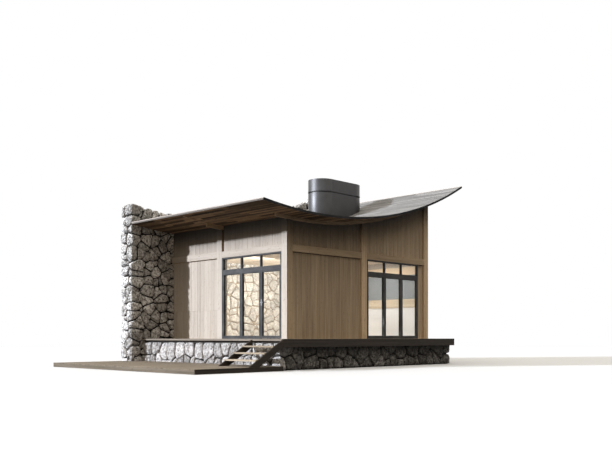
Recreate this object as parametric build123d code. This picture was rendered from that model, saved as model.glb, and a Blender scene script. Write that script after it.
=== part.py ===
from build123d import *
import math
import os

# Lakeside cabin: timber frame on a stone plinth, one rubble wall at the back,
# a terrace round two sides, a sagging roof, a metal chimney shroud, a stair and
# a low timber deck.
# Millimetres. X runs along the front wall, Y along the side walls, +Z is up.
# While it is built, X = Y = 0 is the outer corner of the front and left walls
# and Z = 0 is the floor. At the end everything moves to the stated origin:
# the middle of the whole outline, on the level that it stands on.

# Timber frame and boarded walls
front_length = 6600.0
side_length = 5500.0
post_size = 230.0
left_mid_post_start = 2888.0
front_mid_post_start = 3194.0
rail_bottom = 2465.0
rail_height = 195.0
rail_depth = 150.0
panel_recess = 60.0
side_strip_width = 325.0
ceiling_thickness = 25.0
beam_width = 60.0
beam_depth = 120.0
beam_overhang = 560.0
front_beam_depth = 90.0
front_beam_overhang = 420.0

# Roof, which sags along one circle seen from the front
roof_centre_x = 750.0
roof_centre_z = 17834.0
roof_radius = 14405.0
left_overhang = 1527.0
right_overhang = 938.0
front_overhang = 729.0
roof_board_thickness = 40.0
roof_cover_thickness = 20.0
fascia_thickness = 15.0

# Stone walls
stone_wall_thickness = 585.0
stone_wall_rise = 640.0
plinth_thickness = 300.0
plinth_left_setback = 50.0
plinth_front_setback = 166.0

# Floor, terrace round the front and left walls, joists and edge beams
floor_thickness = 50.0
terrace_left_reach = 1140.0
terrace_front_reach = 1056.0
joist_height = 62.0
joist_width = 80.0
joist_setback = 100.0
joist_count = 13
rim_height = 170.0
rim_thickness = 60.0

# Windows, shared by all walls
window_recess = 10.0
window_depth = 70.0
glass_recess = 45.0
glass_thickness = 20.0
light_count = 3
lower_edge = 87.0
lower_mullion = 128.0
lower_sill = 75.0
lower_glass_top = 1938.0
transom_split = 2009.0
upper_glass_bottom = 2079.0
upper_edge = 60.0
upper_mullion = 50.0
upper_head = 40.0

# Entrance door, the light of the left window next to the corner post
jamb_width = 25.0
door_gap = 5.0
strike_gap = 9.0
threshold_height = 15.0
door_stile = 62.0
door_bottom_rail = 55.0
hinge_radius = 8.0
hinge_standoff = 9.0
hinge_ear = 13.0
knuckle_height = 30.0
knuckle_gap = 0.3
hinge_count = 3
hinge_first = 250.0
hinge_spacing = 750.0
handle_height = 1050.0
handle_plate_width = 32.0
handle_plate_height = 180.0
handle_plate_thickness = 8.0
handle_neck_radius = 6.0
handle_grip_radius = 9.0
handle_grip_reach = 42.0
handle_grip_length = 120.0

# Stair and deck
riser_count = 4
riser = 176.0
stair_slope = 0.595
stair_clear_width = 1158.0
stringer_thickness = 50.0
stringer_depth = 200.0
stringer_drop = 20.0
tread_thickness = 40.0
tread_depth = 250.0
tread_nosing = 20.0
tread_end_overhang = 40.0
deck_depth = 125.0
deck_board_thickness = 28.0
deck_width = 2840.0
deck_length = 6896.0
deck_wall_gap = 50.0
deck_fascia_thickness = 40.0
deck_joist_thickness = 60.0
deck_joist_count = 3

# Chimney shroud
shroud_from_right = 1250.0
shroud_from_back = 2325.0
shroud_width = 956.0
shroud_straight = 1288.0
shroud_wall = 12.0
shroud_body_height = 865.0
shroud_seam_height = 44.0
shroud_seam_inset = 30.0
shroud_cap_height = 433.0
shroud_lip_height = 40.0
shroud_lip_proud = 8.0
shroud_lid_drop = 40.0

# Worked out from the above
deck_top = -riser_count * riser
ground = deck_top - deck_depth
terrace_left = -terrace_left_reach
terrace_front = -terrace_front_reach
plinth_left = terrace_left + plinth_left_setback
plinth_front = terrace_front + plinth_front_setback
stair_foot_left = terrace_left - (-stringer_drop - deck_top) / stair_slope
stair_foot_right = stair_foot_left + stringer_depth / stair_slope
deck_right = plinth_left - deck_wall_gap
deck_left = deck_right - deck_width
roof_left = -left_overhang
roof_right = front_length + right_overhang
roof_thickness = roof_board_thickness + roof_cover_thickness
rail_top = rail_bottom + rail_height
wall_inside = rail_depth
wall_back = side_length + stone_wall_thickness
deck_near = terrace_front
deck_far = deck_near + deck_length
window_front_end = front_length - post_size - side_strip_width
left_mid_post_end = left_mid_post_start + post_size
front_mid_post_end = front_mid_post_start + post_size
plinth_top = -floor_thickness - joist_height
rim_bottom = -floor_thickness - rim_height
going = riser / stair_slope
shroud_x = front_length - shroud_from_right
shroud_y = side_length - shroud_from_back

# The stated origin: middle of the outline in plan, at ground level
origin_x = (min(deck_left, roof_left) + roof_right) / 2
origin_y = (min(deck_near, -front_overhang) + max(deck_far, wall_back)) / 2
to_origin = Pos(-origin_x, -origin_y, -ground)


def save(name, *solids):
    """Write one sub-part, moved to the stated origin."""
    placed = [to_origin * solid for solid in solids]
    shape = placed[0] if len(placed) == 1 else Compound(children=placed)
    export_step(shape, os.path.join("parts", name + ".step"))


def block(x_start, x_end, y_start, y_end, bottom, top):
    """Box between two corners."""
    low = (Align.MIN, Align.MIN, Align.MIN)
    return Pos(x_start, y_start, bottom) * Box(x_end - x_start, y_end - y_start, top - bottom, align=low)


def roof_height(x, lift=0.0):
    """Height of the roof curve at x, a distance lift above the soffit."""
    return roof_centre_z - math.sqrt((roof_radius - lift) ** 2 - (x - roof_centre_x) ** 2)


def roof_arc(x_start, x_end, y, lift):
    """Part of the roof curve, in the plane of one y."""
    x_middle = (x_start + x_end) / 2
    ends = [(x, y, roof_height(x, lift)) for x in (x_start, x_middle, x_end)]
    return ThreePointArc(*ends)


def extrude_along_y(edges, length):
    """Solid from edges that close a loop in a plane of one y."""
    return extrude(Face(Wire(edges)), amount=length, dir=(0, 1, 0))


def curved_band(x_start, x_end, y_start, y_end, low, high):
    """Band that follows the roof curve, from low to high above the soffit."""
    lower = roof_arc(x_start, x_end, y_start, low)
    upper = roof_arc(x_start, x_end, y_start, high)
    edges = [lower, Line(lower @ 1, upper @ 1), upper, Line(upper @ 0, lower @ 0)]
    return extrude_along_y(edges, y_end - y_start)


def up_to_curve(x_start, x_end, y_start, y_end, bottom, lift=0.0):
    """Upright piece with a level bottom, and a top on the roof curve."""
    upper = roof_arc(x_start, x_end, y_start, lift)
    left_foot = (x_start, y_start, bottom)
    right_foot = (x_end, y_start, bottom)
    edges = [Line(left_foot, right_foot), Line(right_foot, upper @ 1), upper, Line(upper @ 0, left_foot)]
    return extrude_along_y(edges, y_end - y_start)


def wall_plan(wall, start, end, outer, inner):
    """Plan extent in a wall: along it, and inward from its outer face."""
    if wall == "front":
        return start, end, outer, inner
    if wall == "left":
        return outer, inner, start, end
    return front_length - inner, front_length - outer, start, end


def wall_block(wall, start, end, outer, inner, bottom, top):
    return block(*wall_plan(wall, start, end, outer, inner), bottom, top)


def lower_panel(wall, start, end):
    """Boarded panel from the floor to the rail."""
    return wall_block(wall, start, end, panel_recess, rail_depth, 0, rail_bottom)


def upper_panel(wall, start, end):
    """Boarded panel from the rail up to the roof."""
    return up_to_curve(*wall_plan(wall, start, end, panel_recess, rail_depth), rail_top)


def rail(wall, start, end):
    return wall_block(wall, start, end, 0, rail_depth, rail_bottom, rail_top)


def post(x_start, y_start, beam):
    """Post from the floor to the roof, housed round a roof beam."""
    return up_to_curve(x_start, x_start + post_size, y_start, y_start + post_size, 0) - beam


def light_spans(start, end, edge, mullion, count=light_count):
    """Start and end of each pane along a window."""
    width = (end - start - 2 * edge - (count - 1) * mullion) / count
    firsts = [start + edge + i * (width + mullion) for i in range(count)]
    return [(first, first + width) for first in firsts]


def lower_panes(spans):
    return [(first, last, lower_sill, lower_glass_top) for first, last in spans]


def upper_panes(spans):
    return [(first, last, upper_glass_bottom, rail_bottom - upper_head) for first, last in spans]


def window_bars(wall, start, end, bottom, top, panes, depth=window_depth):
    """Frame with one through hole for each pane."""
    bars = wall_block(wall, start, end, window_recess, window_recess + depth, bottom, top)
    for first, last, low, high in panes:
        bars -= wall_block(wall, first, last, window_recess, window_recess + depth, low, high)
    return bars


def window_glass(wall, panes):
    inner = glass_recess + glass_thickness
    return [wall_block(wall, first, last, glass_recess, inner, low, high) for first, last, low, high in panes]


def fixed_window(wall, start, end):
    """A whole window with no leaf that opens: its bars and its panes."""
    panes = lower_panes(light_spans(start, end, lower_edge, lower_mullion))
    panes += upper_panes(light_spans(start, end, upper_edge, upper_mullion))
    return window_bars(wall, start, end, 0, rail_bottom, panes), window_glass(wall, panes)


def stone_parts():
    """The rubble wall at the back, and the plinth under the other edges of the floor."""
    save("stone_wall", up_to_curve(roof_left, roof_right, side_length, wall_back, ground, stone_wall_rise))
    plinth_back = plinth_front + plinth_thickness
    plinth_right = front_length - rim_thickness
    save("front_plinth", block(plinth_left, plinth_right, plinth_front, plinth_back, ground, plinth_top))
    left_inner = plinth_left + plinth_thickness
    save("left_plinth", block(plinth_left, left_inner, plinth_back, side_length, ground, plinth_top))
    right_inner = plinth_right - plinth_thickness
    save("right_plinth", block(right_inner, plinth_right, plinth_back, side_length, ground, plinth_top))


def floor_parts():
    """Joists, the floor and the terrace on them, and the edge beams."""
    rim_back = terrace_front + rim_thickness
    rim_inner = front_length - rim_thickness
    first_joist = terrace_left + joist_setback
    joist_pitch = (rim_inner - joist_width - first_joist) / (joist_count - 1)
    joists = []
    for number in range(joist_count):
        left = first_joist + number * joist_pitch
        joists.append(block(left, left + joist_width, rim_back, side_length, plinth_top, -floor_thickness))
    save("floor_joists", *joists)
    save("floor", block(0, front_length, 0, side_length, -floor_thickness, 0))
    save("left_terrace", block(terrace_left, 0, terrace_front, side_length, -floor_thickness, 0))
    save("front_terrace", block(0, front_length, terrace_front, 0, -floor_thickness, 0))
    save("front_rim_beam", block(terrace_left, front_length, terrace_front, rim_back, rim_bottom, -floor_thickness))
    save("right_rim_beam", block(rim_inner, front_length, rim_back, side_length, rim_bottom, -floor_thickness))


def frame_parts():
    """Roof beams, the posts housed round them, and the rails between."""
    front_beam = curved_band(-front_beam_overhang, front_length + front_beam_overhang, 0, beam_width,
                             -front_beam_depth, 0)
    middle_start = left_mid_post_start
    middle_beam = curved_band(-beam_overhang, front_length + beam_overhang,
                              middle_start, middle_start + beam_width, -beam_depth, 0)
    rear_start = side_length - beam_width
    rear_beam = curved_band(wall_inside, front_length - wall_inside, rear_start, side_length, -beam_depth, 0)
    save("front_roof_beam", front_beam)
    save("middle_roof_beam", middle_beam)
    save("rear_roof_beam", rear_beam)

    right_posts = front_length - post_size
    save("corner_post", post(0, 0, front_beam))
    save("front_mid_post", post(front_mid_post_start, 0, front_beam))
    save("front_right_post", post(right_posts, 0, front_beam))
    save("left_mid_post", post(0, left_mid_post_start, middle_beam))
    save("right_mid_post", post(right_posts, left_mid_post_start, middle_beam))

    for wall in ("left", "right"):
        save(wall + "_rail", rail(wall, post_size, left_mid_post_start),
             rail(wall, left_mid_post_end, side_length))
    save("front_rail", rail("front", post_size, front_mid_post_start),
         rail("front", front_mid_post_end, right_posts))


def panel_parts():
    """Boarded panels between the posts."""
    right_posts = front_length - post_size
    strip_start = side_length - side_strip_width
    save("left_lower_panel", lower_panel("left", left_mid_post_end, side_length))
    save("right_lower_panel", lower_panel("right", post_size, left_mid_post_start))
    save("right_side_panel", lower_panel("right", strip_start, side_length))
    save("front_lower_panel", lower_panel("front", post_size, front_mid_post_start))
    save("front_side_panel", lower_panel("front", window_front_end, right_posts))
    for wall in ("left", "right"):
        save(wall + "_upper_panel_near", upper_panel(wall, post_size, left_mid_post_start))
        save(wall + "_upper_panel_far", upper_panel(wall, left_mid_post_end, side_length))
    save("front_upper_panel_left", upper_panel("front", post_size, front_mid_post_start))
    save("front_upper_panel_right", upper_panel("front", front_mid_post_end, right_posts))


def ceiling_part():
    """Flat ceiling between the upper panels, cut round the posts."""
    inner_right = front_length - wall_inside
    top = rail_top + ceiling_thickness
    ceiling = block(wall_inside, inner_right, wall_inside, side_length, rail_top, top)
    right_posts = front_length - post_size
    for x_start in (0, front_mid_post_start, right_posts):
        ceiling -= block(x_start, x_start + post_size, 0, post_size, rail_top, top)
    for x_start in (0, right_posts):
        ceiling -= block(x_start, x_start + post_size, left_mid_post_start, left_mid_post_end, rail_top, top)
    save("ceiling", ceiling)


def window_parts():
    """The windows that have no leaf that opens."""
    bars, panes = fixed_window("front", front_mid_post_end, window_front_end)
    save("front_window_frame", bars)
    save("front_window_glass", *panes)
    bars, panes = fixed_window("right", left_mid_post_end, side_length - side_strip_width)
    save("right_window_frame", bars)
    save("right_window_glass", *panes)


def hinge_levels():
    return [hinge_first + i * hinge_spacing for i in range(hinge_count)]


def knuckle(y_axis, ear_side, middle):
    """One hinge knuckle, with the ear that joins it to what it is on."""
    x_axis = window_recess + window_depth + hinge_standoff
    bottom = middle - knuckle_height / 2
    barrel = Pos(x_axis, y_axis, middle) * Cylinder(hinge_radius, knuckle_height)
    ear_end = y_axis + ear_side * hinge_ear
    ear = block(window_recess + window_depth, x_axis, min(y_axis, ear_end), max(y_axis, ear_end),
                bottom, bottom + knuckle_height)
    return barrel + ear


def entrance_parts():
    """The left window, whose light next to the corner post is the door."""
    start = post_size
    end = left_mid_post_start
    lower_spans = light_spans(start, end, lower_edge, lower_mullion)
    jamb_end = start + jamb_width
    strike = (lower_spans[0][1] + lower_spans[1][0]) / 2
    door_start = jamb_end + door_gap
    door_end = strike - strike_gap
    door_bottom = threshold_height + door_gap
    door_top = transom_split - door_gap

    fixed_panes = lower_panes(lower_spans[1:])
    top_panes = upper_panes(light_spans(start, end, upper_edge, upper_mullion))
    save("left_window_lights", window_bars("left", strike, end, 0, transom_split, fixed_panes))
    save("left_window_transom", window_bars("left", start, end, transom_split, rail_bottom, top_panes))
    save("left_window_glass", *window_glass("left", fixed_panes + top_panes))
    inner = window_recess + window_depth
    save("entrance_jamb", wall_block("left", start, jamb_end, window_recess, inner, 0, transom_split))
    save("entrance_threshold", wall_block("left", jamb_end, strike, window_recess, inner, 0, threshold_height))

    leaf_pane = [(door_start + door_stile, door_end - door_stile,
                  door_bottom + door_bottom_rail, lower_glass_top)]
    leaf = window_bars("left", door_start, door_end, door_bottom, door_top, leaf_pane)
    hinge_y = (jamb_end + door_start) / 2
    step = knuckle_height + knuckle_gap
    frame_knuckles = []
    for level in hinge_levels():
        leaf += knuckle(hinge_y, 1, level)
        frame_knuckles += [knuckle(hinge_y, -1, level + side * step) for side in (-1, 1)]
    save("entrance_door_leaf", leaf)
    save("entrance_door_glass", *window_glass("left", leaf_pane))
    save("entrance_hinges", *frame_knuckles)

    handle_y = door_end - door_stile / 2
    save("entrance_door_handle",
         handle(window_recess, -1, handle_y), handle(inner, 1, handle_y))


def handle(face, outward, y_middle):
    """Lever handle on one face of the door leaf, pointing at the hinges."""
    plate_end = face + outward * handle_plate_thickness
    plate = block(min(face, plate_end), max(face, plate_end),
                  y_middle - handle_plate_width / 2, y_middle + handle_plate_width / 2,
                  handle_height - handle_plate_height / 2, handle_height + handle_plate_height / 2)
    neck_length = handle_grip_reach - handle_plate_thickness
    neck_middle = plate_end + outward * neck_length / 2
    neck = Pos(neck_middle, y_middle, handle_height) * Rot(0, 90, 0) * Cylinder(handle_neck_radius, neck_length)
    grip_x = face + outward * handle_grip_reach
    grip = Pos(grip_x, y_middle - handle_grip_length / 2 + handle_grip_radius, handle_height)
    grip *= Rot(90, 0, 0) * Cylinder(handle_grip_radius, handle_grip_length)
    return plate + neck + grip


def roof_parts():
    """Two curved layers and the fascias round their edges."""
    back = side_length
    boards_front = -front_overhang + fascia_thickness
    boards_left = roof_left + fascia_thickness
    boards_right = roof_right - fascia_thickness
    save("roof_boards", curved_band(boards_left, boards_right, boards_front, back, 0, roof_board_thickness))
    save("roof_covering",
         curved_band(roof_left, roof_right, -front_overhang, back, roof_board_thickness, roof_thickness))
    save("front_rake_fascia",
         curved_band(roof_left, roof_right, -front_overhang, boards_front, 0, roof_board_thickness))
    save("left_eave_fascia",
         curved_band(roof_left, boards_left, boards_front, back, 0, roof_board_thickness))
    save("right_eave_fascia",
         curved_band(boards_right, roof_right, boards_front, back, 0, roof_board_thickness))


def stadium(inset, bottom, top):
    """Upright prism with round ends, in line with the front wall."""
    width = shroud_width - 2 * inset
    outline = SlotCenterToCenter(shroud_straight, width)
    return Pos(shroud_x, shroud_y, bottom) * extrude(outline, amount=top - bottom)


def chimney_parts():
    """Metal shroud on the roof: a body, a seam, and a cap with a lip and a lid."""
    reach = shroud_straight / 2 + shroud_width / 2
    lowest = rail_top
    seam = roof_height(shroud_x) + shroud_body_height
    below = up_to_curve(shroud_x - reach, shroud_x + reach, shroud_y - shroud_width,
                        shroud_y + shroud_width, lowest, roof_thickness)
    body = stadium(0, lowest, seam) - stadium(shroud_wall, lowest, seam) - below
    neck_top = seam + shroud_seam_height
    neck_inner = shroud_seam_inset + shroud_wall
    neck = stadium(shroud_seam_inset, seam, neck_top) - stadium(neck_inner, seam, neck_top)
    collar = stadium(0, seam - shroud_wall, seam) - stadium(neck_inner, seam - shroud_wall, seam)
    save("chimney_shroud", body + neck + collar)
    cap_top = neck_top + shroud_cap_height
    lid_top = cap_top - shroud_lid_drop
    cap = stadium(0, neck_top, cap_top) + stadium(-shroud_lip_proud, neck_top, neck_top + shroud_lip_height)
    cap -= stadium(shroud_wall, neck_top + shroud_wall, lid_top - shroud_wall)
    save("chimney_cap", cap - stadium(shroud_wall, lid_top, cap_top))


def stair_parts():
    """Two stringers with open treads, which pass through the far one."""
    near_inner = terrace_front + stringer_thickness
    far_face = near_inner + stair_clear_width
    tread_end = far_face + stringer_thickness + tread_end_overhang
    treads = []
    for number in range(1, riser_count):
        top = -number * riser
        edge = terrace_left - number * going - tread_nosing
        treads.append(block(edge, edge + tread_depth, near_inner, tread_end, top - tread_thickness, top))
    save("stair_treads", *treads)
    save("near_stair_stringer", stringer(terrace_front))
    save("far_stair_stringer", stringer(far_face) - treads)


def stringer(y_start):
    """Sloping plank with a level foot and an upright top end."""
    corners = [(terrace_left, -stringer_drop), (stair_foot_left, deck_top), (stair_foot_right, deck_top),
               (terrace_left, -stringer_drop - stringer_depth)]
    outline = Polyline([(x, y_start, z) for x, z in corners], close=True)
    return extrude_along_y(outline.edges(), stringer_thickness)


def deck_outline(inset, bottom, top):
    """Plan of the deck, which is narrower beside the end of the stone wall."""
    notch_y = side_length - deck_wall_gap
    notch_x = roof_left - deck_wall_gap
    near = block(deck_left + inset, deck_right - inset, deck_near + inset, notch_y - inset, bottom, top)
    far = block(deck_left + inset, notch_x - inset, deck_near + inset, deck_far - inset, bottom, top)
    return near + far


def deck_parts():
    """Low timber deck: a frame with joists, and the boards on it."""
    frame_top = deck_top - deck_board_thickness
    frame = deck_outline(0, ground, frame_top) - deck_outline(deck_fascia_thickness, ground, frame_top)
    far_width = roof_left - deck_wall_gap - deck_left
    pitch = far_width / (deck_joist_count + 1)
    joists_start = deck_near + deck_fascia_thickness
    joists_end = deck_far - deck_fascia_thickness
    for number in range(1, deck_joist_count + 1):
        middle = deck_left + number * pitch
        frame += block(middle - deck_joist_thickness / 2, middle + deck_joist_thickness / 2,
                       joists_start, joists_end, ground, frame_top)
    save("deck_frame", frame)
    save("deck_boards", deck_outline(0, frame_top, deck_top))


os.makedirs("parts", exist_ok=True)
stone_parts()
floor_parts()
frame_parts()
panel_parts()
ceiling_part()
window_parts()
entrance_parts()
roof_parts()
chimney_parts()
stair_parts()
deck_parts()
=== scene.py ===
import bmesh
import bpy
import math
import random
from collections import namedtuple
from itertools import product
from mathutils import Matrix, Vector


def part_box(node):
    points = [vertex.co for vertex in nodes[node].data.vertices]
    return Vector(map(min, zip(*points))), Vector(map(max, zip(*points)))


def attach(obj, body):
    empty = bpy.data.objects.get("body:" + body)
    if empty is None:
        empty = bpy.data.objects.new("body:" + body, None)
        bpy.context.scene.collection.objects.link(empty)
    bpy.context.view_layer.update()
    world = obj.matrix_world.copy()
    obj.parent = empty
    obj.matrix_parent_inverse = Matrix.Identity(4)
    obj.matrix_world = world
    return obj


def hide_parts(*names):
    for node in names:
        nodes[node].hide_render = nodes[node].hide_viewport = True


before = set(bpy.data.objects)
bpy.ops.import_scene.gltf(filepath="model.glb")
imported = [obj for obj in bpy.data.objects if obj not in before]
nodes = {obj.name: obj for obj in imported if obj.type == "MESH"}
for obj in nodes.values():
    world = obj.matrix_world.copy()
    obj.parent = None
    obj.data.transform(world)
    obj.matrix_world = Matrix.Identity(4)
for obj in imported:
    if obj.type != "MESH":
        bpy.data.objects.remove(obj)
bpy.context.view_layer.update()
scene = bpy.context.scene
looks = {}

# The one source of random numbers. The order of the draws decides the shapes.
rng = random.Random(7)

# Lakeside cabin. Metres. Places are written in the house's own frame: the outer
# corner of the front and left walls at floor level is the origin, X runs along the
# front wall, Y to the back and +Z up.
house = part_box("corner_post")[0]

# Camera, from the photograph's two vanishing points
camera_place = Vector((-14.914, -15.686, 0.060))
camera_turn = math.radians(-44.96)
camera_lens = 45.631
camera_rise = 0.16134
camera_reach = 500.0

# One low, fairly soft sun from the back left, and a pale sky that is brightest overhead
sun_place = (0, 0, 12)
sun_direction = Vector((0.817, -0.462, -0.331))
sun_strength = 6.4
sun_softness = math.radians(2.5)
sun_colour = (0.92, 1.0, 1.14)
sky_colour = (1.0, 0.95, 0.87)
sky_low = 0.02
sky_high = 5.00
sky_curve = 3.4

# Area lamps: name, place, direction, power, size and colour
room_light = (0.97, 0.95, 0.93)
area_lamps = (
    ("side_lamp", (-14.0, -6.0, 3.0), (14.0, 9.0, -1.5), 250.0, 6.0, (1.0, 0.80, 0.56)),
    ("room_lamp_left", (1.8, 3.2, 2.6), (0.0, 1.0, -0.65), 162.0, 1.4, room_light),
    ("room_lamp_middle", (3.9, 3.2, 2.6), (0.0, 1.0, -0.65), 162.0, 1.4, room_light),
    ("room_lamp_right", (5.0, 1.5, 2.6), (0.0, 0.0, -1.0), 78.0, 1.4, room_light),
)

# Studio floor: its size, where it fades to white, and its tone as seen and as it lights the object
floor_reach = 160.0
floor_sides = 64
floor_fade = (12.0, 55.0)
floor_pale = (0.42, 0.42, 0.42)
floor_bounce = (0.04, 0.04, 0.04)

# The roof's circle, seen from the front, and its layers above the soffit
roof_centre_x = 0.750
roof_centre_z = 17.834
roof_radius = 14.405
roof_board_thickness = 0.040
membrane_thickness = 0.003
plank_bed = roof_board_thickness + membrane_thickness
roof_thickness = 0.060
stone_wall_rise = 0.640

# Rows of boards: pitch and its spread, a board's length and its spread, and the gap between rows
Laid = namedtuple("Laid", "pitch spread length length_spread gap")
ceiling_laid = Laid(0.125, 0.0, 2.2, 0.3, 0.006)
soffit_laid = Laid(0.125, 0.08, 1.7, 0.4, 0.006)
plank_laid = Laid(0.215, 0.18, 1.9, 0.35, 0.007)
floor_laid = Laid(0.140, 0.0, 2.2, 0.3, 0.002)
terrace_laid = Laid(0.142, 0.0, 2.6, 0.3, 0.005)

# Boards: gaps at their ends, how far their edges are eased, and how unevenly they lie
end_gap = 0.001
plank_end_gap = 0.006
plank_play = 0.006
ease_small = 0.003
floor_ease = 0.0015
ceiling_board_thickness = 0.012
floor_board_thickness = 0.022
wall_board_pitch = 0.185
wall_board_spread = 0.22
wall_board_gap = 0.003
wall_board_play = 0.0015
wall_board_joint = 0.870
panel_gap = 0.018
panel_gap_depth = 0.016
felt_thickness = 0.004
lining_thickness = 0.012

# Edges of the roof and of the terrace
membrane_inset = 0.02
eave_trim_width = 0.030
eave_back_gap = 0.01
drip_edge = 0.004
drip_depth = 0.02
flashing_width = 0.05
batten_depth = 0.018
batten_inset = 0.11
terrace_edge = 0.045

# Deck
deck_board_pitch = 0.142
deck_board_gap = 0.006
deck_board_play = 0.002
deck_notch_gap = 0.050
deck_end_thickness = 0.010
deck_end_foot = 0.004
deck_end_drop = 0.006
deck_joists = (0.008, 0.25, 0.5, 0.75, 0.985)
deck_edge_joist = 0.02
screw_inset = 0.025
screw_shift = 0.01

# Gaskets and glazing beads round the panes
gasket_width = 0.017
gasket_thickness = 0.003
bead_width = 0.013
bead_rise = 0.013

# Stones: how large, how far apart and how uneven
stone_length = 0.37
stone_height = 0.28
stone_joint = 0.036
stone_proud = 0.024
stone_wander = (0.38, 0.25, 0.28)
stone_keep = 0.92
stone_twins = 0.24
twin_shift = 0.42
stone_tilt = math.radians(3)
stone_recess = 0.016
stone_bulge = 0.017
stone_crease = 0.32
stone_foot = Vector((0, 0, 0.012))
stone_merge = 0.014
cell_reach = 2.6 * stone_length
cell_neighbours = 22
wall_top_margin = 0.09
wall_top_rise = Vector((0, 0, 0.015))
slope_step = 0.1
room_stone_bulge = 0.008
room_crease = 0.42
room_margin = 0.25
plinth_stone_length = 0.44
plinth_low_row = 0.30
plinth_low_length = 0.30
plinth_crease = 0.44
plinth_evenness = 0.6
plinth_corner = 0.30
whole_depth = 1.0
core_depth = 0.060
core_steps = 24
core_top = 1.6 * core_depth
core_drop = Vector((0, 0, 0.01))
chip_count = 4
chip_wander = 0.3
chip_start = (0.08, 0.15)
chip_slope = (math.radians(6), math.radians(17))
relief_scale = 0.09

# Inside of the room
dado_bottom = 1.067
dado_top = 1.360
room_rail_thickness = 0.020
pointing_depth = 0.045
# Height from which the room's lining takes a warm colour: painted lamplight
painted_glow_from = 2.19

# How far down from the roof the wall timber is painted darker, as the eaves' shade, and how dark it starts
eave_shade_depth = 0.95
eave_shade_dark = 0.05

# Scales of the timber's pattern, across its grain and along it
grain_broad = (13.0, 0.40)
grain_streak = (45.0, 0.9)
grain_hair = (190.0, 4.0)
grain_patch = (5.0, 0.5)
grain_pit = (26.0, 9.0)


def corners(node):
    """Lowest and highest corner of a node, in the house's frame."""
    return [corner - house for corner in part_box(node)]


# Driving sizes read from the frame
wall_low, wall_high = corners("stone_wall")
ground = wall_low.z
wall_depth, side_length, _ = corners("left_lower_panel")[1]
front_length = corners("front_right_post")[1].x
post_size = corners("corner_post")[1].y
rail_top = corners("left_rail")[1].z
(roof_left, roof_front, _), (roof_right, _, _) = corners("roof_covering")


def roof_height(x, lift=0.0):
    """Height of the roof curve at x, a distance lift above the soffit."""
    return roof_centre_z - math.sqrt((roof_radius - lift) ** 2 - (x - roof_centre_x) ** 2)


def roof_point(along, lift, y):
    """Point a distance along the soffit's arc from its lowest line, and lift above it."""
    angle = along / roof_radius
    reach = roof_radius - lift
    return (roof_centre_x + reach * math.sin(angle), y, roof_centre_z - reach * math.cos(angle))


def arc_at(x):
    """Distance along the arc at which the roof curve passes over x."""
    return roof_radius * math.asin((x - roof_centre_x) / roof_radius)


def set_up(thing, **settings):
    """Set attributes of a thing, and return it."""
    for key, value in settings.items():
        setattr(thing, key, value)
    return thing


def placed(name, data):
    """A new object in the scene."""
    obj = bpy.data.objects.new(name, data)
    scene.collection.objects.link(obj)
    return obj


class Pile:
    """Many small solids that become one piece, each with a tone of its own."""

    def __init__(self):
        self.points, self.faces, self.tones = [], [], []

    def add(self, points, faces, tone):
        first = len(self.points)
        self.points += [Vector(point) for point in points]
        self.faces += [[first + corner for corner in face] for face in faces]
        self.tones += [tone] * len(points)
        return self

    def prism(self, section, place, tone=0.5):
        """Solid between place(u, v, 0) and place(u, v, 1) over every point (u, v) of a section."""
        count = len(section)
        points = [place(u, v, end) for end in (0, 1) for u, v in section]
        sides = [[i, (i + 1) % count, count + (i + 1) % count, count + i] for i in range(count)]
        return self.add(points, sides + [list(range(count)), list(range(count, 2 * count))], tone)

    def box(self, low, high, tone=0.5, ease=0.0):
        """Upright block, with its upper edges eased."""
        rings = [(0.0, low[2]), (0.0, high[2] - ease)]
        if ease:
            rings.append((ease, high[2]))
        points = []
        for inset, z in rings:
            x0, x1, y0, y1 = low[0] + inset, high[0] - inset, low[1] + inset, high[1] - inset
            points += [(x0, y0, z), (x1, y0, z), (x1, y1, z), (x0, y1, z)]
        faces = [[0, 1, 2, 3], list(range(len(points) - 4, len(points)))]
        for base in range(0, len(points) - 4, 4):
            faces += [[base + i, base + (i + 1) % 4, base + 4 + (i + 1) % 4, base + 4 + i] for i in range(4)]
        return self.add(points, faces, tone)

    def band(self, x_ends, y_ends, lifts, steps=48):
        """Thin band that follows the roof curve, between two lifts above the soffit."""
        first, last = map(arc_at, x_ends)
        places = [first + (last - first) * step / steps for step in range(steps + 1)]
        section = [(at, lifts[0]) for at in places] + [(at, lifts[1]) for at in reversed(places)]
        return self.prism(section, lambda u, v, end: roof_point(u, v, y_ends[end]))

    def piece(self, name, look, slot, replaced=(), body="cabin", smooth=False):
        """Make the mesh object, and put it on its body."""
        mesh = bpy.data.meshes.new(name)
        mesh.from_pydata([house + point for point in self.points], [], self.faces)
        mesh.attributes.new("tone", "FLOAT", "POINT").data.foreach_set("value", self.tones)
        outward = bmesh.new()
        outward.from_mesh(mesh)
        bmesh.ops.recalc_face_normals(outward, faces=outward.faces)
        outward.to_mesh(mesh)
        outward.free()
        mesh.polygons.foreach_set("use_smooth", [smooth] * len(mesh.polygons))
        mesh.materials.append(looks[look])
        obj = placed(name, mesh)
        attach(obj, body)
        if replaced:
            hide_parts(*replaced)
        return obj


def split(start, end, pitch, spread):
    """Spans from start to end, each about one pitch long and uneven by spread."""
    count = max(1, round((end - start) / pitch))
    shares = [1 + rng.uniform(-spread, spread) for _ in range(count)]
    edges = [start]
    for share in shares:
        edges.append(edges[-1] + (end - start) * share / sum(shares))
    return list(zip(edges, edges[1:]))


def courses(laid, rows, along):
    """The two edges and two ends of every board, where rows are cut into lengths."""
    for first, last in split(*rows, laid.pitch, laid.spread):
        for start, end in split(*along, laid.length, laid.length_spread):
            yield first, last, start, end


def board_section(width, thickness, ease=ease_small):
    """Section of a board whose two edges at v = 0, the face that shows, are eased."""
    return [(ease, 0), (width - ease, 0), (width, ease), (width, thickness), (0, thickness), (0, ease)]


def slab(width, thickness):
    """Plain rectangular section."""
    return [(0, 0), (width, 0), (width, thickness), (0, thickness)]


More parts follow.
